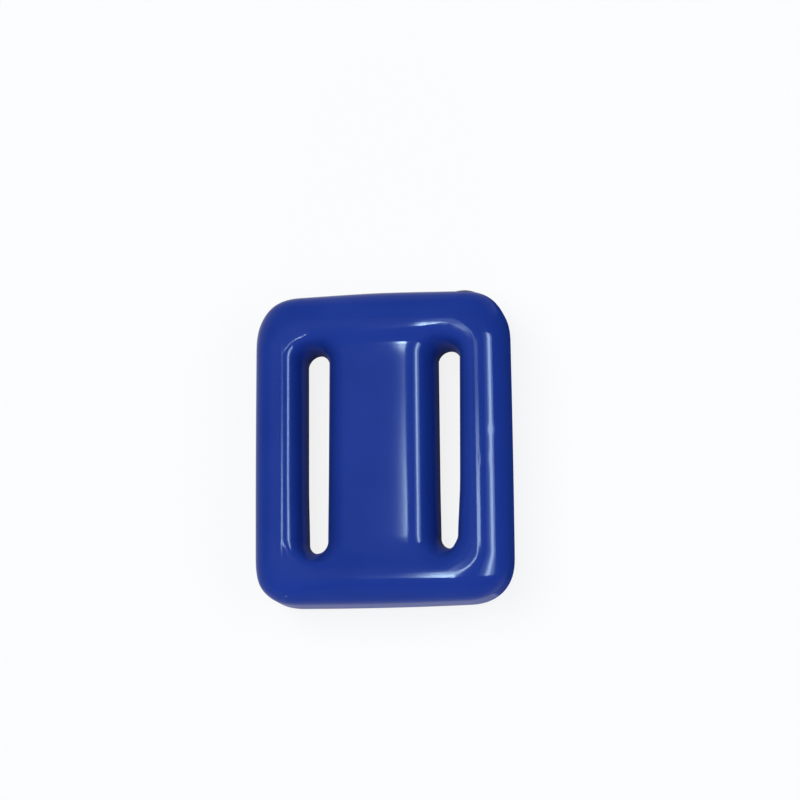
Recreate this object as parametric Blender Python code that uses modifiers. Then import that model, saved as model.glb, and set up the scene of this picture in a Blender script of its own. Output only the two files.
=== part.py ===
"""A coated weight for a diving belt.

A lead casting with two belt slots is dipped in soft PVC, which covers it in one skin and
lines both slots. It hung from one edge while it was dipped, and a dab of the same PVC
plugs the hole that the hook left there.

Metres, +Z up. The weight lies on its flat back with its front up. X runs across the two
slots and Y along them. The origin is the middle of the back.
"""

import math

import bmesh
import bpy

# Overall size of the coated weight
WIDTH = 0.0700
LENGTH = 0.0860
THICKNESS = 0.0240
CORNER_RADIUS = 0.0126

# Belt slots, at their narrowest
SLOT_LENGTH = 0.0556
SLOT_WIDTH = 0.0060
SLOT_SPACING = 0.0366

# Rounding of the outer edge, the same across the wall and up it
FRONT_EDGE_RADIUS = 0.0086
BACK_EDGE_RADIUS = 0.0070

# Rounding of the slot mouths: across the front or back, and down into the slot
FRONT_MOUTH = (0.0050, 0.0090)
BACK_MOUTH = (0.0028, 0.0050)

# The rim is highest in the middle of its upper and lower bars, and falls to its corners
# and sides: how far, between which places along X, and over which part of the length
RIM_FALL = 0.0012
RIM_FALL_ACROSS = (0.0040, 0.0220)
BAR_START = (0.0220, 0.0330)

# Seat of the belt, the web between the slots: its depth below the sides of the rim, the
# radius of its gentle crown, and where the rim's slope to it starts and ends along Y
SEAT_DEPTH = 0.0008
SEAT_CROWN_RADIUS = 0.115
SEAT_SLOPE = (0.0260, 0.0340)

# PVC skin, and the gap that keeps neighbouring pieces apart
SKIN_THICKNESS = 0.0012
GAP = 0.0003

# Hanging hole in the edge at +Y, where the corner and the front's rounding begin, and the
# dab that plugs it. The edge's surface there is a little inside the end of the outline.
HOLE_X = 0.0225
HOLE_Z = 0.0155
HOLE_EDGE_Y = 0.0425
HOOK_HOLE_RADIUS = 0.0018
HOOK_HOLE_DEPTH = 0.0080
DAB_RADIUS = 0.0030
DAB_RISE = 0.0007
DAB_SHOULDER = 0.0004
STEM_LENGTH = 0.0050

# The cage that is smoothed into the weight
ARC_STEP = math.radians(30)
SIDE_STEPS = 3
SUBDIVISION = 1
CREST_LIFT = 0.00049

PVC_BLUE = (0.014, 0.040, 0.290, 1.0)
LEAD_GREY = (0.250, 0.255, 0.270, 1.0)


def clear_scene():
    for item in list(bpy.data.objects):
        bpy.data.objects.remove(item, do_unlink=True)


def new_collection(name):
    collection = bpy.data.collections.new(name)
    bpy.context.scene.collection.children.link(collection)
    return collection


def principled(name, colour, roughness, metallic, coat=0.0):
    material = bpy.data.materials.new(name)
    material.use_nodes = True
    shader = material.node_tree.nodes["Principled BSDF"]
    shader.inputs["Base Color"].default_value = colour
    shader.inputs["Roughness"].default_value = roughness
    shader.inputs["Metallic"].default_value = metallic
    shader.inputs["Coat Weight"].default_value = coat
    return material


def mirrored_half(quadrant):
    """Points of a quadrant, from the +X side to the +Y end, continued to the -Y end."""
    lower = [(x, -y) for x, y in reversed(quadrant)]
    return lower + quadrant[1:]


def outline_half(inset):
    """The weight's outline, moved in by inset, from its -Y end round +X to its +Y end."""
    half_x = WIDTH / 2 - inset
    half_y = LENGTH / 2 - inset
    radius = CORNER_RADIUS - inset
    centre_x = half_x - radius
    centre_y = half_y - radius
    quadrant = [(half_x, centre_y * step / SIDE_STEPS) for step in range(SIDE_STEPS)]
    for step in range(SIDE_STEPS + 1):
        angle = step * ARC_STEP
        quadrant.append((centre_x + radius * math.cos(angle), centre_y + radius * math.sin(angle)))
    quadrant += [(centre_x / 2, half_y), (0.0, half_y)]
    return mirrored_half(quadrant)


def outline_loop(inset):
    """The whole outline, counterclockwise from its -Y end."""
    half = outline_half(inset)
    return half + [(-x, y) for x, y in reversed(half[1:-1])]


def slot_outer_half(offset):
    """The part of the +X slot's edge, moved out by offset, that looks to the outline."""
    radius = SLOT_WIDTH / 2 + offset
    straight = (SLOT_LENGTH - SLOT_WIDTH) / 2
    middle = SLOT_SPACING / 2
    quadrant = [(middle + radius, straight * step / SIDE_STEPS) for step in range(SIDE_STEPS)]
    for step in range(2 * SIDE_STEPS):
        angle = step * ARC_STEP
        quadrant.append((middle + radius * math.cos(angle), straight + radius * math.sin(angle)))
    return mirrored_half(quadrant)


def slot_web_side(offset):
    """The straight side of the same edge that looks to the web, from +Y to -Y."""
    radius = SLOT_WIDTH / 2 + offset
    straight = (SLOT_LENGTH - SLOT_WIDTH) / 2
    x = SLOT_SPACING / 2 - radius
    steps = range(SIDE_STEPS, -SIDE_STEPS - 1, -1)
    return [(x, straight * step / SIDE_STEPS) for step in steps]


def slot_loop(offset):
    return slot_outer_half(offset) + slot_web_side(offset)


def centre_line(end):
    """Points along the middle of the web, from +end to -end."""
    steps = range(SIDE_STEPS, -SIDE_STEPS - 1, -1)
    return [(0.0, end * step / SIDE_STEPS) for step in steps]


def between(first, second, share):
    return [
        (ax + (bx - ax) * share, ay + (by - ay) * share)
        for (ax, ay), (bx, by) in zip(first, second)
    ]


def quarter_drop(distance, across, down):
    """How far a quarter ellipse lies below its top, at a distance from its steep end."""
    if distance >= across:
        return 0.0
    return down * (1 - math.sqrt(1 - (1 - distance / across) ** 2))


def smooth_step(value, start, end):
    t = min(max((value - start) / (end - start), 0.0), 1.0)
    return t * t * (3 - 2 * t)


def rim_fall(x, y):
    """Depth of the rim and of all that it carries below the middle of its bars."""
    falling = smooth_step(abs(x), *RIM_FALL_ACROSS)
    in_bar = smooth_step(abs(y), *BAR_START)
    return RIM_FALL * (1 - (1 - falling) * in_bar)


def seat_drop(x, y):
    """Depth of the belt seat below the rim: full between the slots, none beyond them."""
    inner_edge = (SLOT_SPACING - SLOT_WIDTH) / 2
    outer_edge = (SLOT_SPACING + SLOT_WIDTH) / 2
    across = 1 - smooth_step(abs(x), inner_edge, outer_edge)
    along = 1 - smooth_step(abs(y), *SEAT_SLOPE)
    crown = min(x * x, inner_edge**2) / (2 * SEAT_CROWN_RADIUS)
    return (SEAT_DEPTH + crown) * across * along


def front_loop(points, drop):
    top = THICKNESS + CREST_LIFT
    return [(x, y, top - drop - rim_fall(x, y) - seat_drop(x, y)) for x, y in points]


def back_loop(points, height):
    return [(x, y, height) for x, y in points]


class Cage:
    """Quads between loops of points, where a point used twice is one vertex."""

    def __init__(self):
        self.mesh = bmesh.new()
        self.known = {}

    def vertex(self, point):
        key = tuple(round(value, 7) for value in point)
        if key not in self.known:
            self.known[key] = self.mesh.verts.new(point)
        return self.known[key]

    def bridge(self, first, second):
        """Closed strip from one loop to the next, with as many points in each."""
        count = len(first)
        for index in range(count):
            following = (index + 1) % count
            corners = (first[index], first[following], second[following], second[index])
            self.mesh.faces.new([self.vertex(point) for point in corners])

    def to_mesh(self, name):
        bmesh.ops.recalc_face_normals(self.mesh, faces=self.mesh.faces)
        data = bpy.data.meshes.new(name)
        self.mesh.to_mesh(data)
        self.mesh.free()
        return data


def mirror_x(loop):
    return [(-x, y, z) for x, y, z in loop]


def edge_rings():
    """Rings round the whole outline, from the crest of the rim down to the flat back."""
    rings = []
    for step in range(SIDE_STEPS, -1, -1):
        angle = step * ARC_STEP
        inset = FRONT_EDGE_RADIUS * (1 - math.cos(angle))
        drop = FRONT_EDGE_RADIUS * (1 - math.sin(angle))
        rings.append(front_loop(outline_loop(inset), drop))
    for step in range(SIDE_STEPS + 1):
        angle = step * ARC_STEP
        inset = BACK_EDGE_RADIUS * (1 - math.cos(angle))
        height = BACK_EDGE_RADIUS * (1 - math.sin(angle))
        rings.append(back_loop(outline_loop(inset), height))
    return rings


def slot_rings():
    """Rings round the +X slot, from the crest of the rim through the slot to the back."""
    web_end = SEAT_SLOPE[0]
    front_crest = outline_half(FRONT_EDGE_RADIUS) + centre_line(web_end)
    back_flat = outline_half(BACK_EDGE_RADIUS) + centre_line(web_end)
    rings = [front_loop(front_crest, 0.0)]

    across, down = FRONT_MOUTH
    near = slot_loop(across * (1 - math.cos(2 * ARC_STEP)))
    rings.append(front_loop(between(front_crest, near, 0.55), quarter_drop(0.8 * across, across, down)))
    for step in (2, 1, 0):
        offset = across * (1 - math.cos(step * ARC_STEP))
        rings.append(front_loop(slot_loop(offset), quarter_drop(offset, across, down)))

    across, down = BACK_MOUTH
    for step in (0, 1, 2):
        offset = across * (1 - math.cos(step * ARC_STEP))
        rings.append(back_loop(slot_loop(offset), quarter_drop(offset, across, down)))
    rings.append(back_loop(slot_loop(across), 0.0))
    rings.append(back_loop(between(slot_loop(across), back_flat, 0.5), 0.0))
    rings.append(back_loop(back_flat, 0.0))
    return rings


def slotted_bar_mesh(name):
    """The outer surface of the coated weight, as a coarse closed cage."""
    cage = Cage()
    rings = edge_rings()
    for first, second in zip(rings, rings[1:]):
        cage.bridge(first, second)
    rings = slot_rings()
    for first, second in zip(rings, rings[1:]):
        cage.bridge(first, second)
        cage.bridge(mirror_x(first), mirror_x(second))
    return cage.to_mesh(name)


def place(name, data, material, collection, parent):
    data.materials.append(material)
    data.shade_smooth()
    item = bpy.data.objects.new(name, data)
    collection.objects.link(item)
    item.parent = parent
    return item


def smooth_cage(item):
    smoothing = item.modifiers.new("soft_form", "SUBSURF")
    smoothing.levels = SUBDIVISION
    smoothing.render_levels = SUBDIVISION


def cut(item, cutter):
    boolean = item.modifiers.new("cut_" + cutter.name, "BOOLEAN")
    boolean.operation = "DIFFERENCE"
    boolean.object = cutter


def hole_cutter(name, radius, inner_y, outer_y, collection):
    """A cylinder along Y at the hanging hole."""
    bpy.ops.mesh.primitive_cylinder_add(
        vertices=24,
        radius=radius,
        depth=outer_y - inner_y,
        location=(HOLE_X, (inner_y + outer_y) / 2, HOLE_Z),
        rotation=(math.radians(90), 0, 0),
    )
    cutter = bpy.context.object
    cutter.name = name
    for holder in list(cutter.users_collection):
        holder.objects.unlink(cutter)
    collection.objects.link(cutter)
    cutter.hide_render = True
    cutter.display_type = "WIRE"
    return cutter


def make_coating(material, parts, cutters, parent):
    """The PVC skin: one piece over the outside and through both slots."""
    coating = place("vinyl_coating", slotted_bar_mesh("vinyl_coating"), material, parts, parent)
    smooth_cage(coating)
    skin = coating.modifiers.new("skin", "SOLIDIFY")
    skin.thickness = SKIN_THICKNESS
    skin.offset = -1
    skin.use_even_offset = True
    inner = HOLE_EDGE_Y - 3 * SKIN_THICKNESS
    outer = HOLE_EDGE_Y + SKIN_THICKNESS
    cut(coating, hole_cutter("skin_hole", DAB_RADIUS + GAP, inner, outer, cutters))
    return coating


def make_core(material, parts, cutters, parent):
    """The lead casting: the same form, smaller by the skin and the gap."""
    core = place("lead_core", slotted_bar_mesh("lead_core"), material, parts, parent)
    smooth_cage(core)
    inward = core.modifiers.new("under_skin", "DISPLACE")
    inward.direction = "NORMAL"
    inward.mid_level = 0.0
    inward.strength = -(SKIN_THICKNESS + GAP)
    inner = HOLE_EDGE_Y - HOOK_HOLE_DEPTH
    cut(core, hole_cutter("hook_hole", HOOK_HOLE_RADIUS + GAP, inner, LENGTH / 2, cutters))
    return core


def plug_profile():
    """Half section of the dab, from the top of its dome to the end of its stem, where
    height is measured out from the weight's edge."""
    points = []
    for step in range(SIDE_STEPS + 1):
        angle = step * ARC_STEP
        height = (DAB_RISE + DAB_SHOULDER) * math.cos(angle) - DAB_SHOULDER
        points.append((DAB_RADIUS * math.sin(angle), height))
    foot = GAP - SKIN_THICKNESS
    points += [
        (DAB_RADIUS, foot),
        (HOOK_HOLE_RADIUS, foot),
        (HOOK_HOLE_RADIUS, -STEM_LENGTH),
        (0.0, -STEM_LENGTH),
    ]
    return points


def make_plug(material, parts, parent):
    """The dab of PVC over the hanging hole, with the stem that ran into it."""
    mesh = bmesh.new()
    vertices = [mesh.verts.new((radius, 0.0, height)) for radius, height in plug_profile()]
    for first, second in zip(vertices, vertices[1:]):
        mesh.edges.new((first, second))
    data = bpy.data.meshes.new("hanging_hole_plug")
    mesh.to_mesh(data)
    mesh.free()
    plug = place("hanging_hole_plug", data, material, parts, parent)
    turn = plug.modifiers.new("turned", "SCREW")
    turn.steps = 24
    turn.render_steps = 24
    turn.use_merge_vertices = True
    turn.merge_threshold = 0.00001
    plug.location = (HOLE_X, HOLE_EDGE_Y, HOLE_Z)
    plug.rotation_euler = (math.radians(-90), 0, 0)
    return plug


def main():
    clear_scene()
    parts = new_collection("diving_weight")
    cutters = new_collection("cutters")
    cutters.hide_render = True
    origin = bpy.data.objects.new("diving_weight_origin", None)
    parts.objects.link(origin)

    pvc = principled("blue_pvc", PVC_BLUE, 0.22, 0.0, coat=0.3)
    dab_pvc = principled("dab_pvc", PVC_BLUE, 0.45, 0.0)
    lead = principled("cast_lead", LEAD_GREY, 0.55, 1.0)

    make_core(lead, parts, cutters, origin)
    make_coating(pvc, parts, cutters, origin)
    make_plug(dab_pvc, parts, origin)


main()
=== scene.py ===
# %% [markdown]
# # A coated diving weight
# The real thing is a bar of lead, cast with two upright slots for a belt, then warmed and dipped
# once in liquid PVC. The plastic sets as one glossy blue skin over everything: front, sides, back
# and the walls of both slots. This lesson makes that skin as one smooth surface, and lights it so
# that its round edges show.
#
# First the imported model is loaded. It gives every piece its place, so nothing has to be fitted.

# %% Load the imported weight
import bpy
import numpy as np
from mathutils import Matrix, Vector
from mathutils.bvhtree import BVHTree


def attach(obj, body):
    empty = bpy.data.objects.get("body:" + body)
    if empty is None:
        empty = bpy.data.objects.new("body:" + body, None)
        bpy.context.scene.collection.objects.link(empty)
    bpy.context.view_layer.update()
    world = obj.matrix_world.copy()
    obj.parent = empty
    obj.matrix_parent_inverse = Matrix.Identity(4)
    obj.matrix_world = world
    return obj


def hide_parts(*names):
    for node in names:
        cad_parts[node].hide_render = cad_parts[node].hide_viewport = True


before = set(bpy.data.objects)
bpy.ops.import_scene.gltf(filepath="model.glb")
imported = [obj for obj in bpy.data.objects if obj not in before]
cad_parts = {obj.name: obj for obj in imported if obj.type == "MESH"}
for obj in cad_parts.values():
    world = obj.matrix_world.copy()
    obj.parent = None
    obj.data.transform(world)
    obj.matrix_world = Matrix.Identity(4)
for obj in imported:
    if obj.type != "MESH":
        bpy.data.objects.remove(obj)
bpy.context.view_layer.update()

# %% [markdown]
# ## The camera
# A product picture of a flat thing is taken from well back with a long lens, so that its sides
# stay nearly parallel. Here the camera stands 0.75 m away, a little to the right of the middle and
# a little towards the lower end. A small shift of the lens moves the weight in the picture without
# turning the camera.

# %% Place the camera
MM = 0.001
MIDDLE = Vector((0.0, 0.0, 12.0 * MM))
CAMERA_RIGHT = np.radians(9.2)
CAMERA_BELOW = np.radians(9.5)
CAMERA_TILT = np.radians(-0.44)
CAMERA_DISTANCE = 0.750
CAMERA_CLIPS = (0.02, 60.0)
SENSOR_WIDTH = 36.0
PICTURE_SIDE = 800
PIXELS_PER_MM = 3.652
WEIGHT_IN_PICTURE = (383.95, 449.9)


def camera_axes():
    """The camera's right, up and back directions."""
    back = Vector((
        np.sin(CAMERA_RIGHT) * np.cos(CAMERA_BELOW),
        -np.sin(CAMERA_BELOW),
        np.cos(CAMERA_RIGHT) * np.cos(CAMERA_BELOW),
    ))
    right = Vector((0.0, 1.0, 0.0)).cross(back).normalized()
    up = back.cross(right)
    c, s = np.cos(CAMERA_TILT), np.sin(CAMERA_TILT)
    return c * right + s * up, c * up - s * right, back


def make_camera():
    """A long lens, turned to the weight and shifted to frame it."""
    right, up, back = camera_axes()
    data = bpy.data.cameras.new("product_lens")
    data.sensor_width = SENSOR_WIDTH
    data.lens = PIXELS_PER_MM / MM * CAMERA_DISTANCE / PICTURE_SIDE * SENSOR_WIDTH
    data.shift_x = (PICTURE_SIDE / 2 - WEIGHT_IN_PICTURE[0]) / PICTURE_SIDE
    data.shift_y = (WEIGHT_IN_PICTURE[1] - PICTURE_SIDE / 2) / PICTURE_SIDE
    data.clip_start, data.clip_end = CAMERA_CLIPS
    camera = bpy.data.objects.new("product_camera", data)
    turn = Matrix((right, up, back)).transposed().to_4x4()
    camera.matrix_world = Matrix.Translation(MIDDLE + back * CAMERA_DISTANCE) @ turn
    bpy.context.scene.collection.objects.link(camera)
    bpy.context.scene.camera = camera
    return camera


camera = make_camera()
print("lens:", round(camera.data.lens, 1), "mm")

# %% [markdown]
# ## The casting's measures
# All lengths from here on are in millimetres, as a pattern maker would write them. The outline is
# a rectangle whose corners are a little squarer than a circle and whose sides swell slightly. The
# two slots are long holes with round ends.

# %% Write down the measures
WIDTH = 69.8
LENGTH = 85.7
THICKNESS = 24.0
CORNER_RADIUS = 12.6
CORNER_POWER = 2.4
CORNER_SHRINK = 0.55
SIDE_SWELL = 0.18
END_SWELL = 0.60

SLOT_LENGTH = 55.1
SLOT_WIDTH = 5.9
SLOT_SPACING = 36.6

# How far each rounding goes across and down, and how square its curve is
RIM_ACROSS = 7.85
RIM_DOWN = 8.6
RIM_POWER = 2.2
BAR_POWER = 1.95
BACK_EDGE = 7.0
BACK_POWER = 2.2

# The slots' mouths: across and draft are given for the rim's side, the ends and the web's side
MOUTH_DOWN = 13.5
MOUTH_POWER = 3.0
MOUTH_ACROSS = (4.6, 4.7, 5.6)
MOUTH_DRAFT = (0.055, 0.08, 0.12)
BACK_MOUTH_DOWN = 9.5
BACK_MOUTH_ACROSS = (2.4, 2.4, 2.4)
BACK_MOUTH_DRAFT = (0.12, 0.12, 0.12)

HALF_WIDTH = WIDTH / 2 - SIDE_SWELL
HALF_LENGTH = LENGTH / 2 - END_SWELL
SLOT_RADIUS = SLOT_WIDTH / 2
SLOT_STRAIGHT = (SLOT_LENGTH - SLOT_WIDTH) / 2
SLOT_X = SLOT_SPACING / 2
WEB_EDGE, FAR_EDGE = SLOT_X - SLOT_RADIUS, SLOT_X + SLOT_RADIUS
print("web between the slots:", 2 * WEB_EDGE, "mm")

# %% [markdown]
# ## Loops round the weight
# The slots could be cut out of a block with booleans, but their soft mouths would come out ragged
# and shade badly. So the weight is built from loops: closed rows of points that follow the outline,
# or follow a slot, and that have the same number of points, so that neighbouring loops can be
# joined by four-sided faces. Each loop is made from one quarter or one half and mirrored. The small
# differences between left and right are put in afterwards.

# %% Loops that follow the outline
FINE = 12
SEAT_FLAT_TO = (-25.7, 27.2)


def with_mirror_below(half):
    """Points from the middle of the right side up, with their mirror image below put first."""
    below = half[::-1] * [1, -1]
    return np.vstack([below, half[1:]])


def quarter_outline(inset):
    """The outline's upper right quarter, moved inwards by inset."""
    radius = CORNER_RADIUS - CORNER_SHRINK * inset
    corner_x, corner_y = HALF_WIDTH - inset - radius, HALF_LENGTH - inset - radius
    side_y = np.linspace(0, corner_y, 3 * FINE + 1)[:-1]
    side = np.column_stack([np.full(3 * FINE, corner_x + radius), side_y])
    turn = np.linspace(0, np.pi / 2, 3 * FINE + 1)
    power = CORNER_POWER + (2 - CORNER_POWER) * inset / RIM_ACROSS
    round_x = corner_x + radius * np.cos(turn) ** (2 / power)
    round_y = corner_y + radius * np.sin(turn) ** (2 / power)
    top_x = np.linspace(corner_x, 0, 2 * FINE + 1)[1:]
    top = np.column_stack([top_x, np.full(2 * FINE, corner_y + radius)])
    flat = np.vstack([side, np.column_stack([round_x, round_y]), top])
    along_x, along_y = flat[:, 0] / HALF_WIDTH, flat[:, 1] / HALF_LENGTH
    swell = np.column_stack([
        SIDE_SWELL * (1 - along_y**2) * along_x,
        END_SWELL * (1 - along_x**2) * along_y,
    ])
    return flat + swell


def outline_loop(inset):
    """The whole outline, moved inwards by inset."""
    half = with_mirror_below(quarter_outline(inset))
    return np.vstack([half, (half * [-1, 1])[::-1][1:-1]])


def half_frame_loop(inset):
    """The right half of the outline, closed along the middle of the weight."""
    half = with_mirror_below(quarter_outline(inset))
    top, (low, high) = half[-1, 1], SEAT_FLAT_TO
    down = [
        np.linspace(top, high, FINE + 1)[1:],
        np.linspace(high, low, 6 * FINE + 1)[1:],
        np.linspace(low, -top, FINE + 1)[1:-1],
    ]
    middle_y = np.concatenate(down)
    return np.vstack([half, np.column_stack([np.zeros(len(middle_y)), middle_y])])


print("points in an outline loop:", len(outline_loop(0)), "in a half:", len(half_frame_loop(0)))

# %% [markdown]
# The mouth of a slot isn't the same all round. Towards the outer rim it is tight. Towards the web,
# where the belt bends over it, it is a wide soft curve. So a slot loop is told how far out it goes
# on each side, and passes smoothly from one to the other round the ends.

# %% Loops that follow a slot
SLOT_END_TURN = np.radians(150)


def ease(value, start, end):
    """0 before start, 1 after end, and a smooth passage between them."""
    t = np.clip((value - start) / (end - start), 0, 1)
    return t * t * t * (t * (6 * t - 15) + 10)


def on_each_side(turn, values):
    """The value in the direction turn, from those for the rim's side, ends and web's side."""
    outer, end, web = values
    towards = np.cos(turn)
    return end + (outer - end) * ease(towards, 0, 1) + (web - end) * ease(-towards, 0, 1)


def slot_loop(share, across, rise, draft):
    """A loop round the right slot: share of the mouth's width out, and rise up its leaning wall."""
    def at(turn, y):
        out = SLOT_RADIUS + share * on_each_side(turn, across) + rise * on_each_side(turn, draft)
        return np.column_stack([SLOT_X + out * np.cos(turn), y + out * np.sin(turn)])
    rows = SLOT_STRAIGHT * np.linspace(0, 1, 3 * FINE + 1)[:-1]
    side = at(np.zeros(3 * FINE), rows)
    over = at(np.linspace(0, SLOT_END_TURN, 5 * FINE + 1), SLOT_STRAIGHT)
    chain = with_mirror_below(np.vstack([side, over]))
    rest = at(np.linspace(SLOT_END_TURN, np.pi, FINE + 1)[1:], SLOT_STRAIGHT)
    web_y = np.linspace(SLOT_STRAIGHT, -SLOT_STRAIGHT, 6 * FINE + 1)[1:]
    web_side = at(np.full(6 * FINE, np.pi), web_y)
    last = at(np.linspace(np.pi, 2 * np.pi - SLOT_END_TURN, FINE + 1)[1:-1], -SLOT_STRAIGHT)
    return np.vstack([chain, rest, web_side, last])


print("points in a slot loop:", len(slot_loop(1.0, MOUTH_ACROSS, 0.0, MOUTH_DRAFT)))

# %% [markdown]
# ## The front's relief
# The rim stands all round like a bead. Its upper bar is level in the middle and runs straight down
# to the corners, and its lower bar is one long, slow curve. The first heights are those of the
# rim's crest, counted down from the weight's highest level.

# %% Heights of the rim
RIM_LEVEL = 1.05
BAR_MIDDLE = (34.0, -35.3)
BAR_WIDE = (3.5, 4.0)
UPPER_BAR_SLOPE = np.tan(np.radians(3.4))
UPPER_BAR_RAMP = (5.0, 14.4, 26.5, 28.5)
UPPER_BAR_FLATTER = np.tan(np.radians(0.75))
UPPER_BAR_FLATTER_RAMP = (13.0, 24.0, 26.5, 28.5)
UPPER_BAR_LEFT = (8, 24)
LOWER_BAR_TOP = -10.0
LOWER_BAR_RADIUS = 470
LOWER_BAR_LEFT = (10, 24)


def way_covered(value, reach, speed):
    """The way covered up to value, at a speed that is given at evenly spaced places."""
    return np.interp(value, reach, np.cumsum(speed) * (reach[1] - reach[0]))


def ramp(value, start, full, slower, end):
    """The way covered at a speed that grows from 0 to 1 and then falls back to 0."""
    reach = np.linspace(-60, 60, 4801)
    return way_covered(value, reach, ease(reach, start, full) - ease(reach, slower, end))


def upper_bar_drop(x):
    """The upper bar's crest is level in the middle, and runs straight down to the corners."""
    right = ramp(x, *UPPER_BAR_RAMP) * UPPER_BAR_SLOPE
    flatter = ramp(x, *UPPER_BAR_FLATTER_RAMP) * UPPER_BAR_FLATTER
    return right - flatter + RIM_LEVEL * ease(-x, *UPPER_BAR_LEFT)


def lower_bar_drop(x):
    """The lower bar's crest is one long, slow curve that ends at the level of the sides."""
    curve = np.clip(x - LOWER_BAR_TOP, 0, None) ** 2 / (2 * LOWER_BAR_RADIUS)
    right = RIM_LEVEL * np.tanh((curve / RIM_LEVEL) ** 3) ** (1 / 3)
    return right + RIM_LEVEL * ease(-x, *LOWER_BAR_LEFT)


def rim_drop(x, y):
    """How far the rim's crest is under the weight's highest level."""
    drop = RIM_LEVEL
    for middle, wide, bar_drop in zip(BAR_MIDDLE, BAR_WIDE, (upper_bar_drop, lower_bar_drop)):
        in_bar = np.exp(-(((y - middle) / wide) ** 2) / 2)
        drop = drop - (RIM_LEVEL - bar_drop(x)) * in_bar
    return drop


print("lower bar at the right slot:", round(float(lower_bar_drop(SLOT_X)), 2), "mm down")

# %% [markdown]
# Between the slots lies the belt seat. It is lower than the rim, rises a little towards its own
# middle, and climbs back to the rim above and below. A formula for its depth is easier to tune
# than points moved by hand, because each of its numbers is a measure of the real thing.

# %% Depth of the seat
SEAT_DEPTH = 0.75
SEAT_CROWN = (111.5, 119.0)
SEAT_CROWN_FROM = (0, 18)
SEAT_RIM_AT = (-34.8, 33.9)
SEAT_BIAS = (1.0, 1.25)


def climb(value, start, end, bias):
    """0 before start, 1 after end, rounded over at the end rather than fading out."""
    t = np.clip((value - start) / (end - start), 0, 1)
    return 0.5 - 0.5 * np.cos(np.pi * t**bias)


def seat_depth(x, y):
    """How far the belt seat lies under the rim."""
    across = 1 - ease(np.abs(x), WEB_EDGE, FAR_EDGE)
    (low_flat, high_flat), (low_rim, high_rim) = SEAT_FLAT_TO, SEAT_RIM_AT
    low_bias, high_bias = SEAT_BIAS
    upwards = climb(y, high_flat, high_rim, high_bias)
    downwards = climb(-y, -low_flat, -low_rim, low_bias)
    upper, lower = SEAT_CROWN
    radius = upper + (lower - upper) * ease(-y, *SEAT_CROWN_FROM)
    crown = np.minimum(x * x, WEB_EDGE**2) / (2 * radius)
    return (SEAT_DEPTH + crown) * across * (1 - upwards - downwards)


print("depth of the seat in its middle:", round(float(seat_depth(0.0, 0.0)), 2), "mm")

# %% [markdown]
# A rounded edge is described by how far it has dropped at each step outwards, on a curve that
# starts level and ends upright. Beside its crest each rim also leans evenly for about half a
# millimetre. A strip as straight as that mirrors a lamp as one long thin line.

# %% Shape of a rounded edge, and the leaning strips
LEFT_LEAN = 0.1025
LEFT_LEAN_FROM = (-26.75, -26.48)
RIGHT_LEAN = 0.045
RIGHT_LEAN_FROM = (-0.45, -0.12)
RIGHT_CREST_SWELL = 0.8 * SIDE_SWELL
LEAN_ENDS = (26.0, 35.0)


def edge_outs(steps, power=2.0, start=1.0):
    """Shares of the way outwards over a rounded edge, closer together where it is steep."""
    turn = np.pi / 2 * np.linspace(0, 1, steps + 1) ** start
    return np.sin(turn) ** (2 / power)


def edge_drop(out, power):
    """The share of the drop that goes with a share of the way outwards."""
    return 1 - np.clip(1 - out**power, 0, 1) ** (1 / power)


def left_lean(x):
    """From its crest the left rim leans into its slot, until the mouth's rounding is as steep."""
    reach = np.linspace(-30, -24, 1201)
    mouth_edge = FAR_EDGE + MOUTH_ACROSS[0] + MOUTH_DOWN * MOUTH_DRAFT[0]
    out = np.clip((reach + mouth_edge) / MOUTH_ACROSS[0], 0, 1)
    rounding = np.gradient(MOUTH_DOWN * edge_drop(out, MOUTH_POWER), reach)
    slope = ease(reach, *LEFT_LEAN_FROM) * np.clip(LEFT_LEAN - rounding, 0, None)
    return way_covered(x, reach, slope) * ease(-x, WEB_EDGE, FAR_EDGE)


def right_lean(x, y):
    """Over its crest the right rim leans outwards, until its rounding is as steep."""
    crest = HALF_WIDTH - RIM_ACROSS + RIGHT_CREST_SWELL * (1 - (y / HALF_LENGTH) ** 2)
    reach = np.linspace(-1, 1, 401)
    out = np.clip(reach / RIM_ACROSS, 0, 1)
    rounding = np.gradient(RIM_DOWN * edge_drop(out, RIM_POWER), reach)
    slope = ease(reach, *RIGHT_LEAN_FROM) * np.clip(RIGHT_LEAN - rounding, 0, None)
    return way_covered(x - crest, reach, slope)


def front_height(x, y):
    """The front's height before its edges are rounded."""
    lean = (left_lean(x) + right_lean(x, y)) * (1 - ease(np.abs(y), *LEAN_ENDS))
    return THICKNESS - rim_drop(x, y) - seat_depth(x, y) - lean


print("height of the front in its middle:", round(float(front_height(0.0, 0.0)), 2), "mm")

# %% [markdown]
# ## Stacking the loops
# One stack of loops runs over the outer edge, from the front's crest down the side to the back. A
# second stack runs from the same crest inwards over the web and rim, down into a slot, out at the
# back and over to the back's flat edge. The second one is mirrored for the left slot.

# %% Stack the loops
EDGE_STEPS = 24
EDGE_START = 1.7
MOUTH_STEPS = 18
WALL_STEPS = 6
PLAIN_STEPS = 12
BAR_EDGE_FROM = (28, 34)


def lift(loop, z):
    """The loop's points with their heights."""
    return np.column_stack([loop, np.broadcast_to(z, len(loop))])


def lift_to_front(loop, drop, down):
    """The loop on the front, lowered by a share, drop, of a rounding that goes down so far."""
    level = THICKNESS + (front_height(loop[:, 0], loop[:, 1]) - THICKNESS) * (1 - drop)
    return lift(loop, level - down * drop)


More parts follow.
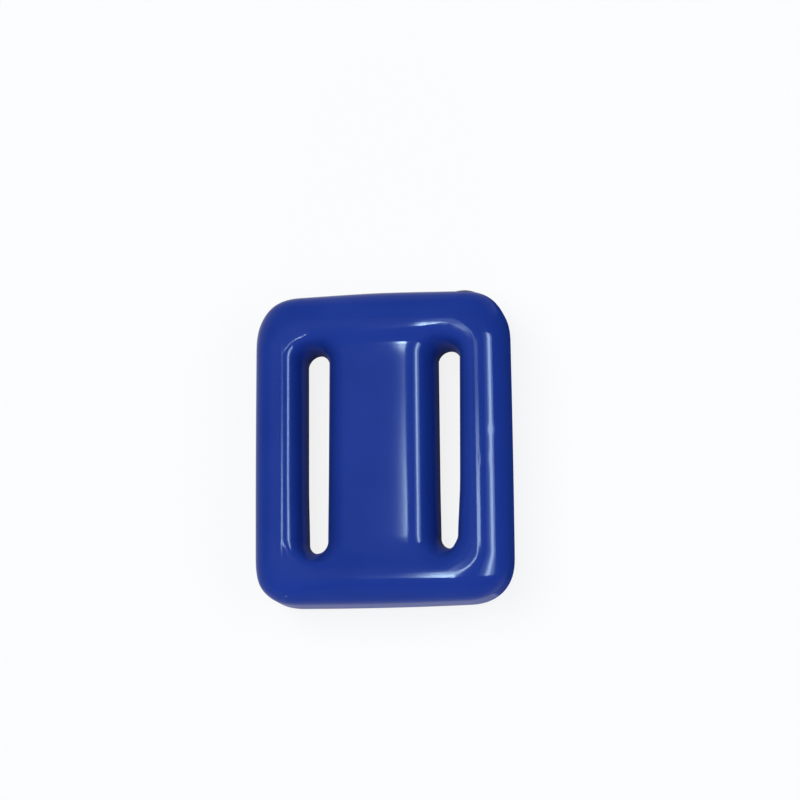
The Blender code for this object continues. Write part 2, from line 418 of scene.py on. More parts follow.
def outer_stack():
    """Loops over the outer edge, front to back."""
    stack = []
    for out in edge_outs(EDGE_STEPS, start=EDGE_START):
        loop = outline_loop(RIM_ACROSS * (1 - out))
        in_bar = ease(np.abs(loop[:, 1]), *BAR_EDGE_FROM)
        drop = edge_drop(out, RIM_POWER + (BAR_POWER - RIM_POWER) * in_bar)
        stack.append(lift_to_front(loop, drop, RIM_DOWN))
    for z in np.linspace(THICKNESS - RIM_DOWN, BACK_EDGE, WALL_STEPS + 1)[1:-1]:
        stack.append(lift(outline_loop(0), z))
    for out in edge_outs(EDGE_STEPS)[::-1]:
        loop = outline_loop(BACK_EDGE * (1 - out))
        stack.append(lift(loop, BACK_EDGE * edge_drop(out, BACK_POWER)))
    return stack


def inner_stack(side):
    """Loops from the crest into the slot on this side, -1 or 1, and out over the back."""
    stack = []
    crest = half_frame_loop(RIM_ACROSS)
    mouth = slot_loop(1.0, MOUTH_ACROSS, MOUTH_DOWN, MOUTH_DRAFT)
    for t in np.linspace(0, 1, PLAIN_STEPS + 1):
        loop = (crest + (mouth - crest) * t) * [side, 1]
        stack.append(lift(loop, front_height(loop[:, 0], loop[:, 1])))
    for out in edge_outs(MOUTH_STEPS, MOUTH_POWER)[1:]:
        drop = edge_drop(out, MOUTH_POWER)
        loop = slot_loop(1 - out, MOUTH_ACROSS, MOUTH_DOWN * (1 - drop), MOUTH_DRAFT)
        stack.append(lift_to_front(loop * [side, 1], drop, MOUTH_DOWN))
    for out in edge_outs(MOUTH_STEPS)[::-1]:
        drop = edge_drop(out, BACK_POWER)
        rise = BACK_MOUTH_DOWN * (1 - drop)
        loop = slot_loop(1 - out, BACK_MOUTH_ACROSS, rise, BACK_MOUTH_DRAFT)
        stack.append(lift(loop * [side, 1], BACK_MOUTH_DOWN * drop))
    mouth, flat_edge = stack[-1][:, :2], half_frame_loop(BACK_EDGE) * [side, 1]
    for t in np.linspace(0, 1, PLAIN_STEPS // 2 + 1)[1:]:
        stack.append(lift(mouth + (flat_edge - mouth) * t, 0.0))
    return stack


outer_loops, left_loops, right_loops = outer_stack(), inner_stack(-1), inner_stack(1)
print("loops:", len(outer_loops), "outside and", len(right_loops), "for each slot")

# %% [markdown]
# ## What the dipping leaves
# A dipped skin isn't perfect. It hung from a hook at its upper end, so the liquid ran down and the
# slots are a little narrower near their lower ends, and no two corners are quite alike. This could
# be sculpted by hand. Moving the points of the even shape by smooth amounts does the same, and
# leaves a number for each fault that can be changed later.

# %% Make the slots and corners uneven
# Slots, by side: the right wall's lean, how far the walls run in, and the ends' shifts
WALL_LEAN = {-1: 0.0092, 1: 0.012}
WALL_RUN = {-1: (0.30, 0.05), 1: (0.12, 0.65)}
WALL_RUN_FROM = (6.0, 30.0)
END_SHIFT = {-1: (-0.15, -0.50), 1: (-0.25, 0.0)}
END_SHIFT_FROM = (18, 27)
SLOTS_LEFT = 0.19
SLOT_REACH = (0.5, 4.5)

# Corners, by side and end: how far out, and where along X and Y a corner begins
CORNER_SHIFT = {(-1, 1): 0.05, (-1, -1): 0.38, (1, 1): 0.20, (1, -1): 0.05}
CORNER_FROM_X, CORNER_FROM_Y = (20, 32), (28, 40)


def with_uneven_slots(points):
    """Leans the slots' right walls, narrows both slots low down, and shifts their ends."""
    moved = points.copy()
    y = points[:, 1]
    for side in (-1, 1):
        from_middle = points[:, 0] - side * SLOT_X
        past_end = np.maximum(np.abs(y) - SLOT_STRAIGHT, 0)
        from_wall = np.hypot(from_middle, past_end) - SLOT_RADIUS
        near = 1 - ease(from_wall, *SLOT_REACH)
        on_left = near * np.clip(-from_middle / SLOT_RADIUS, 0, 1)
        on_right = near * np.clip(from_middle / SLOT_RADIUS, 0, 1)
        left_run, right_run = WALL_RUN[side]
        upper_end, lower_end = END_SHIFT[side]
        low = ease(-y, *WALL_RUN_FROM)
        moved[:, 0] += on_left * left_run * low
        moved[:, 0] += on_right * (WALL_LEAN[side] * y - right_run * low)
        moved[:, 0] -= near * SLOTS_LEFT
        ends = upper_end * ease(y, *END_SHIFT_FROM) + lower_end * ease(-y, *END_SHIFT_FROM)
        moved[:, 1] += near * ends
    return moved


def with_uneven_corners(points):
    """Makes each corner a trace rounder or squarer than the pattern."""
    moved = points.copy()
    x, y, _ = points.T
    for (side, end), shift in CORNER_SHIFT.items():
        near = ease(side * x, *CORNER_FROM_X) * ease(end * y, *CORNER_FROM_Y)
        moved[:, 0] += near * side * shift * np.sqrt(0.5)
        moved[:, 1] += near * end * shift * np.sqrt(0.5)
    return moved


print("the right slot narrows by", sum(WALL_RUN[1]), "mm at its lower end")

# %% [markdown]
# The crests of the upper and lower bars lie a millimetre off the pattern, the upper end swells a
# little, and the right-hand rim took a knock halfway down. Each knock is a small bell-shaped dent
# or lump. Last, the whole shape widens by a trace towards its lower end.

# %% Move the bars and knock the rim
BAR_SHIFT = {1: -1.1, -1: 0.85}
BAR_SHIFT_FROM, BAR_SHIFT_TO, BAR_SHIFT_ABOVE = (25, 32), (35, 42), (13, 20)
TOP_SWELL, TOP_SWELL_AT, TOP_SWELL_WIDE, TOP_SWELL_FROM = 0.20, -1.0, 13, (28, 42)
FLARE = 0.0050

# Knocks: x, y, width, length and height
KNOCKS = [
    (29.2, -5.0, 1.1, 1.8, 0.05),
    (30.9, 2.9, 0.9, 1.0, -0.10),
    (15.9, 30.2, 0.6, 0.5, -0.09),
    (19.3, 30.9, 0.5, 0.6, -0.07),
    (7.4, 28.4, 2.4, 2.0, -0.03),
]


def with_moved_bars(points):
    """Moves the crests of the upper and lower bars along, and swells the upper end a little."""
    moved = points.copy()
    x, y, z = points.T
    for end, shift in BAR_SHIFT.items():
        along = ease(end * y, *BAR_SHIFT_FROM) * (1 - ease(end * y, *BAR_SHIFT_TO))
        moved[:, 1] += along * ease(z, *BAR_SHIFT_ABOVE) * end * shift
    swell = np.exp(-(((x - TOP_SWELL_AT) / TOP_SWELL_WIDE) ** 2))
    moved[:, 1] += TOP_SWELL * swell * ease(y, *TOP_SWELL_FROM)
    return moved


def with_knocks(points):
    """Small dents and lumps in the front of the right-hand rim and the upper bar."""
    moved = points.copy()
    for x, y, wide, long, height in KNOCKS:
        spread = ((points[:, 0] - x) / wide) ** 2 + ((points[:, 1] - y) / long) ** 2
        moved[:, 2] += height * np.exp(-spread) * (points[:, 2] > THICKNESS / 2)
    return moved


def with_flare(points):
    """Makes the lower end a trace wider than the upper one."""
    moved = points.copy()
    moved[:, 0] *= 1 - FLARE * points[:, 1] / (LENGTH / 2)
    return moved


def as_dipped(points):
    """The even shape's points, each moved to where the dipping left it."""
    points = with_moved_bars(with_uneven_corners(with_uneven_slots(points)))
    return with_flare(with_knocks(points))


print("knocks:", len(KNOCKS), "the deepest", max(-knock[-1] for knock in KNOCKS), "mm")

# %% [markdown]
# ## The skin
# Neighbouring loops are joined by four-sided faces. Points that two stacks share are then merged,
# so the skin is one closed surface with two holes through it. A coarse cage with a subdivision
# modifier would need fewer points, but it can't hold the narrow strips that carry the lines of
# light.

# %% Join the loops into the skin
MERGE_DECIMALS = 4


def bridge(quads, first, second, count, flip):
    """Four-sided faces between two loops that start at these point numbers."""
    for i in range(count):
        j = (i + 1) % count
        quad = (first + i, first + j, second + j, second + i)
        quads.append(quad[::-1] if flip else quad)


def stack_faces(points, quads, stack, flip):
    """Adds a stack's points and the faces between its loops."""
    starts = []
    for loop in stack:
        starts.append(sum(len(p) for p in points))
        points.append(loop)
    for first, second in zip(starts, starts[1:]):
        bridge(quads, first, second, len(stack[0]), flip)


def merged(points, quads):
    """The same faces with points in the same place made one."""
    keys = np.round(points, MERGE_DECIMALS)
    _, first_of, number = np.unique(keys, axis=0, return_index=True, return_inverse=True)
    number = number.reshape(-1)
    return points[first_of], [tuple(int(number[i]) for i in quad) for quad in quads]


def make_mesh_object(name, points, faces):
    """A smooth-shaded object from points in millimetres."""
    mesh = bpy.data.meshes.new(name)
    mesh.from_pydata([tuple(p) for p in points * MM], [], faces)
    mesh.validate()
    mesh.update()
    mesh.shade_smooth()
    piece = bpy.data.objects.new(name, mesh)
    bpy.context.scene.collection.objects.link(piece)
    return piece


point_rows, skin_quads = [], []
stack_faces(point_rows, skin_quads, outer_loops, True)
stack_faces(point_rows, skin_quads, right_loops, False)
stack_faces(point_rows, skin_quads, left_loops, True)
skin_points, skin_quads = merged(np.vstack(point_rows), skin_quads)
dipped_skin = make_mesh_object("dipped_skin", as_dipped(skin_points), skin_quads)
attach(dipped_skin, "root")
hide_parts("vinyl_coating")
print("skin:", len(skin_points), "points and", len(skin_quads), "faces")

# %% [markdown]
# ## Shader groups
# The skin and the dab are the same plastic, so they share two effects, each built once as a node
# group. The first is the slow undulation of a dipped skin together with a fine orange peel, as
# heights for a bump. The second is a mask of faint clouds, for colour and gloss that aren't quite
# even. Both could be painted as images, but noise over the object's own coordinates needs no image
# and has no seams.

# %% Build the shared groups
CLOUD_RANGE = (0.3, 0.7)


def new_group(name, inputs, output):
    """A shader group with number sockets, its input node and its output socket."""
    group = bpy.data.node_groups.new(name, "ShaderNodeTree")
    for label, value in inputs.items():
        socket = group.interface.new_socket(label, in_out="INPUT", socket_type="NodeSocketFloat")
        socket.default_value = value
    group.interface.new_socket(output, in_out="OUTPUT", socket_type="NodeSocketFloat")
    inside, outside = group.nodes.new("NodeGroupInput"), group.nodes.new("NodeGroupOutput")
    return group, inside.outputs, outside.inputs[output]


def own_place(tree):
    """The object's own coordinates."""
    return tree.nodes.new("ShaderNodeTexCoord").outputs["Object"]


def noise(tree, scale, detail, place):
    """A noise texture whose scale comes from a socket."""
    node = tree.nodes.new("ShaderNodeTexNoise")
    node.inputs["Detail"].default_value = detail
    tree.links.new(scale, node.inputs["Scale"])
    tree.links.new(place, node.inputs["Vector"])
    return node.outputs["Fac"]


def maths(tree, operation, first, second=0.0):
    """A Math node, fed with sockets or plain numbers."""
    node = tree.nodes.new("ShaderNodeMath")
    node.operation = operation
    for socket, value in zip(node.inputs, (first, second)):
        if isinstance(value, bpy.types.NodeSocket):
            tree.links.new(value, socket)
        else:
            socket.default_value = value
    return node.outputs[0]


def build_dip_surface():
    """Heights, from 0 to about 1, of the slow waves and the fine peel of a dipped skin."""
    inputs = {"Wave Scale": 70.0, "Peel Scale": 900.0, "Peel Share": 0.1}
    group, given, height = new_group("dip_surface", inputs, "Height")
    place = own_place(group)
    waves = noise(group, given["Wave Scale"], 1.0, place)
    peel = noise(group, given["Peel Scale"], 2.0, place)
    fine = maths(group, "MULTIPLY", peel, given["Peel Share"])
    group.links.new(maths(group, "ADD", waves, fine), height)
    return group


def build_clouds():
    """A mask of soft clouds between Low and High."""
    inputs = {"Scale": 60.0, "Low": 0.0, "High": 1.0}
    group, given, mask = new_group("soft_clouds", inputs, "Mask")
    spread = group.nodes.new("ShaderNodeMapRange")
    spread.inputs["From Min"].default_value = CLOUD_RANGE[0]
    spread.inputs["From Max"].default_value = CLOUD_RANGE[1]
    clouds = noise(group, given["Scale"], 3.0, own_place(group))
    group.links.new(clouds, spread.inputs["Value"])
    group.links.new(given["Low"], spread.inputs["To Min"])
    group.links.new(given["High"], spread.inputs["To Max"])
    group.links.new(spread.outputs["Result"], mask)
    return group


dip_surface, soft_clouds = build_dip_surface(), build_clouds()
print("groups:", dip_surface.name, soft_clouds.name)

# %% [markdown]
# ## The blue PVC
# Plastisol is a coloured plastic, and its colour belongs to its whole body. It could be one flat
# colour, but a dipped skin is a trace deeper where it is thicker, so faint clouds pass between two
# near blues, and others change the roughness. The waves go in as a bump, because they are far too
# low to be worth any geometry.

# %% Mix the blue PVC
BLUE_DEEP, BLUE_LIGHT = (0.0116, 0.0340, 0.229), (0.0150, 0.0395, 0.253)


def cleared_tree(owner):
    """The node tree of a material or world, emptied."""
    owner.use_nodes = True
    owner.node_tree.nodes.clear()
    return owner.node_tree


def new_material(name):
    """A node material with nothing in it but its shader."""
    material = bpy.data.materials.new(name)
    tree = cleared_tree(material)
    shader = tree.nodes.new("ShaderNodeBsdfPrincipled")
    output = tree.nodes.new("ShaderNodeOutputMaterial")
    tree.links.new(shader.outputs["BSDF"], output.inputs["Surface"])
    return material, tree, shader


def place_group(tree, group, **values):
    """A copy of a shared group in a material, with its own values. Returns its one output."""
    node = tree.nodes.new("ShaderNodeGroup")
    node.node_tree = group
    for label, value in values.items():
        node.inputs[label.replace("_", " ")].default_value = value
    return node.outputs[0]


def cloudy_colour(tree, shader, scale, deep, light):
    """A colour that passes from deep to light in soft clouds."""
    mix = tree.nodes.new("ShaderNodeMix")
    mix.data_type = "RGBA"
    mix.inputs[6].default_value = (*deep, 1)
    mix.inputs[7].default_value = (*light, 1)
    tree.links.new(place_group(tree, soft_clouds, Scale=scale, Low=0.0, High=1.0), mix.inputs[0])
    tree.links.new(mix.outputs[2], shader.inputs["Base Color"])


def cloudy_gloss(tree, shader, scale, low, high):
    """A roughness that passes from low to high in soft clouds."""
    clouds = place_group(tree, soft_clouds, Scale=scale, Low=low, High=high)
    tree.links.new(clouds, shader.inputs["Roughness"])


def bump(tree, shader, distance, wave_scale, peel_scale, peel_share):
    """Gives the shader the dipped surface's waves and peel, as normals."""
    height = place_group(
        tree, dip_surface, Wave_Scale=wave_scale, Peel_Scale=peel_scale, Peel_Share=peel_share
    )
    node = tree.nodes.new("ShaderNodeBump")
    node.inputs["Distance"].default_value = distance
    node.inputs["Strength"].default_value = 1.0
    tree.links.new(height, node.inputs["Height"])
    tree.links.new(node.outputs["Normal"], shader.inputs["Normal"])


blue_pvc, blue_tree, blue_shader = new_material("blue_pvc")
cloudy_colour(blue_tree, blue_shader, 45.0, BLUE_DEEP, BLUE_LIGHT)
cloudy_gloss(blue_tree, blue_shader, 130.0, low=0.26, high=0.34)
blue_shader.inputs["Specular IOR Level"].default_value = 0.0
bump(blue_tree, blue_shader, 0.00012, wave_scale=75.0, peel_scale=700.0, peel_share=0.01)
dipped_skin.data.materials.append(blue_pvc)
print("material:", blue_pvc.name, "with", len(blue_tree.nodes), "nodes so far")

# %% [markdown]
# The wet look is a thin clear layer over the blue, which is what the shader's coat is for. An even
# coat would mirror the bright room all over the rounded sides. So a mask weakens it where the skin
# turns away from the eye, and brings a little of it back edge on. It also takes the coat out of the
# slots as painted shade: their walls then mirror nothing and stay dull and dark.

# %% Coat the blue PVC
COAT_ROUGHNESS = 0.09
COAT_IOR = 1.5

# Passages, as start, end, before and after. The first two go with how far the skin is turned away
# from the eye, the third with how far it looks up, and the last two with how far it is from a slot.
GLOSS_FALL = (0.07, 0.17, 1.0, 0.08)
GLOSS_EDGE_ON = (0.18, 0.95, 0.0, 0.45)
GLOSS_FRONT_SIDE = (-0.2, 0.35, 0.25, 1.0)
GLOSS_FALL_IN_SLOT = (0.0, 1.0, 0.08, 1.0)
GLOSS_EDGE_IN_SLOT = (0.0, 1.0, 0.20, 1.0)


def split_axes(tree, vector):
    """A vector's X, Y and Z."""
    node = tree.nodes.new("ShaderNodeSeparateXYZ")
    tree.links.new(vector, node.inputs[0])
    return node.outputs


def build_slot_shade():
    """A mask that is 1 on the walls deep in the slots and 0 on the rest of the skin."""
    inputs = {"Reach": 0.004, "Fade": 0.001, "Lower Share": 0.6}
    group, given, mask = new_group("slot_shade", inputs, "Mask")

    def op(operation, first, second=0.0):
        return maths(group, operation, first, second)

    axes = split_axes(group, own_place(group))
    across = op("ABSOLUTE", op("SUBTRACT", op("ABSOLUTE", axes["X"]), SLOT_X * MM))
    above = op("MAXIMUM", op("SUBTRACT", axes["Y"], SLOT_STRAIGHT * MM))
    downwards = op("MULTIPLY", axes["Y"], -1.0)
    below = op("MAXIMUM", op("SUBTRACT", downwards, SLOT_STRAIGHT * MM))
    past_end = op("ADD", above, op("MULTIPLY", below, given["Lower Share"]))
    squares = op("ADD", op("POWER", across, 2.0), op("POWER", past_end, 2.0))
    away = op("SUBTRACT", op("SQRT", squares), given["Reach"])
    clear = group.nodes.new("ShaderNodeClamp")
    group.links.new(op("DIVIDE", away, given["Fade"]), clear.inputs["Value"])
    group.links.new(op("SUBTRACT", 1.0, clear.outputs["Result"]), mask)
    return group


def passage(tree, value, start, end, before, after):
    """A smooth passage from one number to another while value goes from start to end."""
    fade = tree.nodes.new("ShaderNodeMapRange")
    fade.interpolation_type = "SMOOTHSTEP"
    fade.inputs["From Min"].default_value = start
    fade.inputs["From Max"].default_value = end
    fade.inputs["To Min"].default_value = before
    fade.inputs["To Max"].default_value = after
    tree.links.new(value, fade.inputs["Value"])
    return fade.outputs["Result"]


def coat_mask(tree):
    """Full gloss facing the eye, less beyond, a soft rim of it edge on, hardly any in the slots."""
    layer = tree.nodes.new("ShaderNodeLayerWeight")
    layer.inputs["Blend"].default_value = 0.5
    turned = layer.outputs["Facing"]
    normal = split_axes(tree, tree.nodes.new("ShaderNodeNewGeometry").outputs["Normal"])
    # Painted shade: the coat is taken off the slots' walls, so that they stay dark.
    in_slot = place_group(tree, slot_shade, Reach=0.0043, Fade=0.0014)
    open_skin = maths(tree, "SUBTRACT", 1.0, in_slot)
    rise = maths(
        tree, "MULTIPLY",
        passage(tree, turned, *GLOSS_EDGE_ON),
        passage(tree, normal["Z"], *GLOSS_FRONT_SIDE),
    )
    rise = maths(tree, "MULTIPLY", rise, passage(tree, open_skin, *GLOSS_EDGE_IN_SLOT))
    fall = passage(tree, turned, *GLOSS_FALL)
    fall = maths(tree, "MULTIPLY", fall, passage(tree, open_skin, *GLOSS_FALL_IN_SLOT))
    return maths(tree, "ADD", fall, rise)


slot_shade = build_slot_shade()
blue_shader.inputs["Coat Roughness"].default_value = COAT_ROUGHNESS
blue_shader.inputs["Coat IOR"].default_value = COAT_IOR
blue_tree.links.new(coat_mask(blue_tree), blue_shader.inputs["Coat Weight"])
print("material:", blue_pvc.name, "with", len(blue_tree.nodes), "nodes and its coat")

# %% [markdown]
# ## The dab and the lead
# The dab over the hanging hole was brushed on by hand after dipping: the same plastic, thicker and
# less glossy. Its blue is painted much darker than the skin's, as painted shade for the dark that it
# sits in at the top edge. The lead inside can't be seen, but a section or a see-through view of the
# model shows it, so it gets the dull, slightly blotchy grey of a casting.

# %% Finish the dab and the lead
# Painted shade: the dab's blues are much darker than the skin's, for the dark it sits in.
DAB_SHADED_DEEP, DAB_SHADED_LIGHT = (0.005, 0.012, 0.065), (0.008, 0.018, 0.095)
DAB_SPECULAR = 0.12
LEAD_DEEP, LEAD_LIGHT = (0.20, 0.205, 0.22), (0.33, 0.335, 0.35)


def make_dab_pvc():
    """The same plastic, brushed on, with painted shade in its darker blue."""
    material, tree, shader = new_material("dab_pvc")
    cloudy_colour(tree, shader, 600.0, DAB_SHADED_DEEP, DAB_SHADED_LIGHT)
    cloudy_gloss(tree, shader, 900.0, low=0.38, high=0.55)
    shader.inputs["Specular IOR Level"].default_value = DAB_SPECULAR
    bump(tree, shader, 0.00010, wave_scale=400.0, peel_scale=2500.0, peel_share=0.2)
    return material


def make_cast_lead():
    """Dull grey metal with a grain."""
    material, tree, shader = new_material("cast_lead")
    cloudy_colour(tree, shader, 90.0, LEAD_DEEP, LEAD_LIGHT)
    cloudy_gloss(tree, shader, 300.0, low=0.45, high=0.7)
    shader.inputs["Metallic"].default_value = 1.0
    bump(tree, shader, 0.00015, wave_scale=500.0, peel_scale=3000.0, peel_share=0.3)
    return material


def repaint(node_name, material):
    """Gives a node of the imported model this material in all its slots."""
    for material_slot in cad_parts[node_name].material_slots:
        material_slot.material = material
    print(node_name, "is now", material.name)


dab_pvc = make_dab_pvc()
repaint("hanging_hole_plug", dab_pvc)
repaint("lead_core", make_cast_lead())

# %% [markdown]
# The dab follows the skin that it was brushed on. A ray towards the skin starts above each of its
# points, and the point is put a little above the place it meets, so the dab is a low blister whose
# rim is sunk in the skin. A Shrinkwrap modifier could lay it on too, but would need a second object
# and a thickness of its own. The same recipe, much smaller, makes the bead that a drip left near
# the lower left corner.

# %% Lay the dab and the drip on the skin
BLISTER_ROWS = 7
BLISTER_SIDES = 28
BLISTER_SUNK = 0.08
BLISTER_RAY = 3
DAB_SEEN_FROM, DAB_TOWARDS = (23.6, 60, 15.8), (0, -1, 0)
DRIP_SEEN_FROM, DRIP_TOWARDS = (-21.6, -45.15, 47.2), (-0.158, 0.165, -0.974)
skin_tree = BVHTree.FromPolygons(
    [vertex.co / MM for vertex in dipped_skin.data.vertices],
    [tuple(face.vertices) for face in dipped_skin.data.polygons],
)


def blister(name, outside, towards, wide, high, rise):
    """A low closed dome on the skin, where a ray from outside meets it. In millimetres."""
    centre, normal = skin_tree.ray_cast(Vector(outside), Vector(towards).normalized())[:2]
    side = normal.cross(Vector((0, 0, 1))).normalized()
    up = normal.cross(side)
    points = [centre + normal * rise]
    for row in range(1, BLISTER_ROWS + 1):
        share = row / BLISTER_ROWS
        for step in range(BLISTER_SIDES):
            turn = 2 * np.pi * step / BLISTER_SIDES
            off = side * (wide * share * np.cos(turn)) + up * (high * share * np.sin(turn))
            under = skin_tree.ray_cast(centre + off + normal * BLISTER_RAY, -normal)[0]
            points.append(under + normal * (rise * (1 - share**2) - BLISTER_SUNK * share))
    points.append(centre - normal * 4 * BLISTER_SUNK)
    faces = []
    rim = 1 + (BLISTER_ROWS - 1) * BLISTER_SIDES
    for i in range(BLISTER_SIDES):
        j = (i + 1) % BLISTER_SIDES
        faces.append((0, 1 + i, 1 + j))
        faces.append((len(points) - 1, rim + j, rim + i))
    for row in range(BLISTER_ROWS - 1):
        first = 1 + row * BLISTER_SIDES
        bridge(faces, first, first + BLISTER_SIDES, BLISTER_SIDES, True)
    piece = make_mesh_object(name, np.array(points), faces)
    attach(piece, "root")
    return piece


dab = blister("brushed_dab", DAB_SEEN_FROM, DAB_TOWARDS, wide=3.3, high=2.8, rise=0.30)
dab.data.materials.append(dab_pvc)
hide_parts("hanging_hole_plug")
drip = blister("drip_bead", DRIP_SEEN_FROM, DRIP_TOWARDS, wide=0.80, high=0.70, rise=0.55)
drip.data.materials.append(blue_pvc)
for piece in (dab, drip):
    print(piece.name, "at", [round(v / MM, 1) for v in piece.data.vertices[0].co], "mm")

# %% [markdown]
# ## The stage
# The weight lies on a plain pale floor. A white sheet that is only lit would turn grey where the
# slots shade it. So to the eye, and in reflections, this floor is mostly its own white. The rest of
# its brightness comes from the lamps, and keeps a faint shadow of the weight.

# %% Lay the floor
FLOOR_HALF = 6.0
FLOOR_BELOW = 0.05
FLOOR_OWN_WHITE = 0.86
FLOOR_FAINT_GREY = 0.11
FLOOR_LIT_GREY = 0.7


def diffuse(tree, grey):
    """A matt grey shader's output."""
    node = tree.nodes.new("ShaderNodeBsdfDiffuse")
    node.inputs["Color"].default_value = (grey, grey, grey, 1)
    return node.outputs[0]


def make_floor():
    """A wide matt sheet that is nearly white of itself to the eye."""
    corners = np.array([(-1, -1, 0), (1, -1, 0), (1, 1, 0), (-1, 1, 0)]) * FLOOR_HALF / MM
    floor = make_mesh_object("pale_floor", corners - [0, 0, FLOOR_BELOW], [(0, 1, 2, 3)])
    material = bpy.data.materials.new("pale_floor")
    tree = cleared_tree(material)
    own = tree.nodes.new("ShaderNodeEmission")
    own.inputs["Color"].default_value = (1, 1, 1, 1)
    own.inputs["Strength"].default_value = FLOOR_OWN_WHITE
    seen = tree.nodes.new("ShaderNodeAddShader")
    tree.links.new(diffuse(tree, FLOOR_FAINT_GREY), seen.inputs[0])
    tree.links.new(own.outputs[0], seen.inputs[1])
    rays = tree.nodes.new("ShaderNodeLightPath").outputs
    looked_at = maths(tree, "MAXIMUM", rays["Is Camera Ray"], rays["Is Glossy Ray"])
    looked_at = maths(tree, "MAXIMUM", looked_at, rays["Is Transmission Ray"])
    choose = tree.nodes.new("ShaderNodeMixShader")
    tree.links.new(looked_at, choose.inputs[0])
    tree.links.new(diffuse(tree, FLOOR_LIT_GREY), choose.inputs[1])
    tree.links.new(seen.outputs[0], choose.inputs[2])
    output = tree.nodes.new("ShaderNodeOutputMaterial")
    tree.links.new(choose.outputs[0], output.inputs["Surface"])
    floor.data.materials.append(material)
    return floor


pale_floor = make_floor()
print(pale_floor.name, "is", 2 * FLOOR_HALF, "m wide")

# %% [markdown]
# ## Studio light
# Gloss shows whatever stands round it. An image of a studio could be wrapped round the scene, but
# lamps can be moved and dimmed one by one. A tall window lamp overhead, made of panes of different
# brightness, draws the lines beside the crests and down the web. Three strips to the right, one
# inside the other, draw a second line down each rim that is bright in its middle and soft at its
# flanks. Only reflections see the strips. Three soft lamps, at the left, at the right and low in
# front, light the blue itself and aren't mirrored, so the front stays a deep blue between the
# lines.

# %% Set up the lamps
COOL = (0.60, 0.82, 1.0)
WHITE = (1.0, 1.0, 1.0)

# Columns run from right to left and rows upwards: first and last degree, and brightness
OVER_COLUMNS = (
    (-1.3, -0.35, 1.0), (-2.2, -1.3, 0.27), (-3.2, -2.2, 0.11), (-4.8, -3.2, 0.035),
    (-9.0, -4.8, 0.008),
)
OVER_ROWS = (
    (-18.5, -6.0, 2.7), (-6.0, 6.0, 1.5), (6.0, 8.9, 1.0), (8.9, 10.4, 0.45), (10.4, 17.0, 0.17),
)
OVER_DISTANCE = 1.35
OVER_WATTS_PER_M2 = 53.0

# Degrees to the right and up, distance, width, height, watts and tint
STRIPS = {
    "strip_core": (41.2, -2.0, 1.60, 0.30, 1.7, 12.0, COOL),
    "strip_middle": (45.5, -2.0, 1.65, 0.90, 1.75, 14.0, COOL),
    "strip_edge": (50.0, -2.0, 1.70, 1.9, 1.8, 9.0, COOL),
}
SOFT_LAMPS = {
    "soft_left": (-22.0, 12.0, 2.2, 1.6, 1.6, 37.0, WHITE),
    "soft_right": (43.0, 0.0, 1.6, 1.0, 1.7, 14.0, COOL),
    "soft_low": (0.0, -78.0, 1.5, 0.8, 0.3, 8.0, COOL),
}


def lamp_at(name, right, up, distance, width, height, watts, tint):
    """A flat lamp in the direction (right, up) in degrees from the weight, turned to it."""
    data = bpy.data.lights.new(name, "AREA")
    data.shape = "RECTANGLE"
    data.size, data.size_y = width, height
    data.energy = watts
    data.color = tint
    towards = Vector((np.tan(np.radians(right)), np.tan(np.radians(up)), 1.0)).normalized()
    lamp = bpy.data.objects.new(name, data)
    side = Vector((0, 1, 0)).cross(towards).normalized()
    turn = Matrix((side, towards.cross(side), towards)).transposed().to_4x4()
    lamp.matrix_world = Matrix.Translation(MIDDLE + towards * distance) @ turn
    bpy.context.scene.collection.objects.link(lamp)
    return lamp


def pane_over(column, row):
    """One pane of the tall window lamp over the weight, which is brightest at its lower right."""
    (left, right, across), (low, high, along) = OVER_COLUMNS[column], OVER_ROWS[row]
    low, high = np.tan(np.radians(low)), np.tan(np.radians(high))
    width = np.radians(right - left) * OVER_DISTANCE
    height = (high - low) * OVER_DISTANCE
    watts = width * height * OVER_WATTS_PER_M2 * across * along
    middle = np.degrees(np.arctan((high + low) / 2))
    name = "window_%d_%d" % (column, row)
    return lamp_at(name, (left + right) / 2, middle, OVER_DISTANCE, width, height, watts, COOL)


panes = [
    pane_over(column, row)
    for column in range(len(OVER_COLUMNS)) for row in range(len(OVER_ROWS))
]
strips = [lamp_at(name, *values) for name, values in STRIPS.items()]
for strip in strips:
    strip.visible_diffuse = False
soft_lamps = [lamp_at(name, *values) for name, values in SOFT_LAMPS.items()]
for soft_lamp in soft_lamps:
    soft_lamp.visible_glossy = False
print("lamps:", len(panes), "panes,", len(strips), "strips and", len(soft_lamps), "soft lamps")

# %% [markdown]
# A low black card stands to the right, as photographers place one to keep a glossy edge dark. Only
# reflections see it, and it is hidden from the eye in every view. It fades out towards its lower
# end, so that the corner there keeps a pale edge.

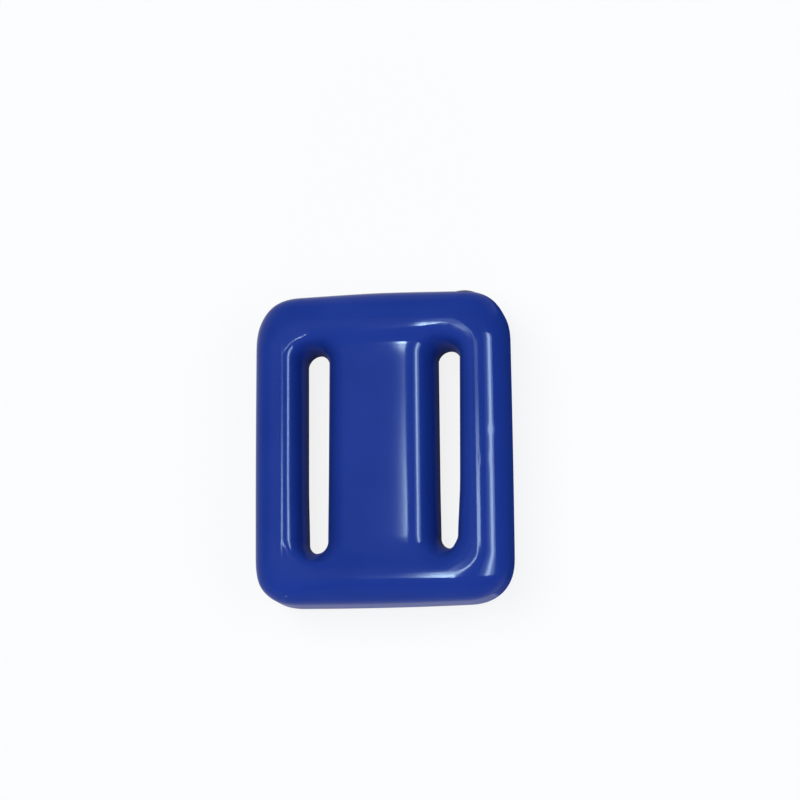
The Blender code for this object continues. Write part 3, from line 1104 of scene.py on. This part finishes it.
# %% Stand up the black card
CARD_NEAR, CARD_FAR = 31.0, 62.0
CARD_LONG = 60.0
CARD_BASE, CARD_HIGH = 0.3, 44.0
CARD_FADE = (-0.058, -0.034, 0.0, 1.0)
CARD_BLACK = 0.004
CARD_HIDDEN_FROM = ("camera", "diffuse", "transmission", "shadow")


def make_black_card():
    """A sheet that lies along the weight's right side and then stands up."""
    corners = np.array([
        (x, y, z)
        for x, z in ((CARD_NEAR, CARD_BASE), (CARD_FAR, CARD_BASE), (CARD_FAR, CARD_HIGH))
        for y in (-CARD_LONG, CARD_LONG)
    ])
    card = make_mesh_object("black_card", corners, [(0, 1, 3, 2), (2, 3, 5, 4)])
    material, tree, shader = new_material("black_card")
    along = split_axes(tree, own_place(tree))["Y"]
    tree.links.new(passage(tree, along, *CARD_FADE), shader.inputs["Alpha"])
    shader.inputs["Base Color"].default_value = (CARD_BLACK, CARD_BLACK, CARD_BLACK, 1)
    shader.inputs["Roughness"].default_value = 0.9
    card.data.materials.append(material)
    for ray in CARD_HIDDEN_FROM:
        setattr(card, "visible_" + ray, False)
    return card


black_card = make_black_card()
print("card:", black_card.name)

# %% [markdown]
# The room itself is a sky that is white at the horizon and dim overhead. Its light comes in low,
# so it fills the sides of the weight and hardly its front.

# %% Paint the room
ROOM_FADE = (0.03, 0.30, 0.90, 0.05)


def make_room():
    """A white sky whose strength falls with the height looked at."""
    world = bpy.data.worlds.new("studio_room")
    bpy.context.scene.world = world
    tree = cleared_tree(world)
    direction = tree.nodes.new("ShaderNodeTexCoord").outputs["Generated"]
    strength = passage(tree, split_axes(tree, direction)["Z"], *ROOM_FADE)
    background = tree.nodes.new("ShaderNodeBackground")
    background.inputs["Color"].default_value = (1, 1, 1, 1)
    tree.links.new(strength, background.inputs["Strength"])
    output = tree.nodes.new("ShaderNodeOutputWorld")
    tree.links.new(background.outputs[0], output.inputs["Surface"])


make_room()
bpy.context.scene.view_settings.view_transform = "Standard"
print("view:", bpy.context.scene.view_settings.view_transform)

# %% [markdown]
# ## Finish
# Last, the scene is brought up to date once more.

# %% Finish
bpy.context.view_layer.update()
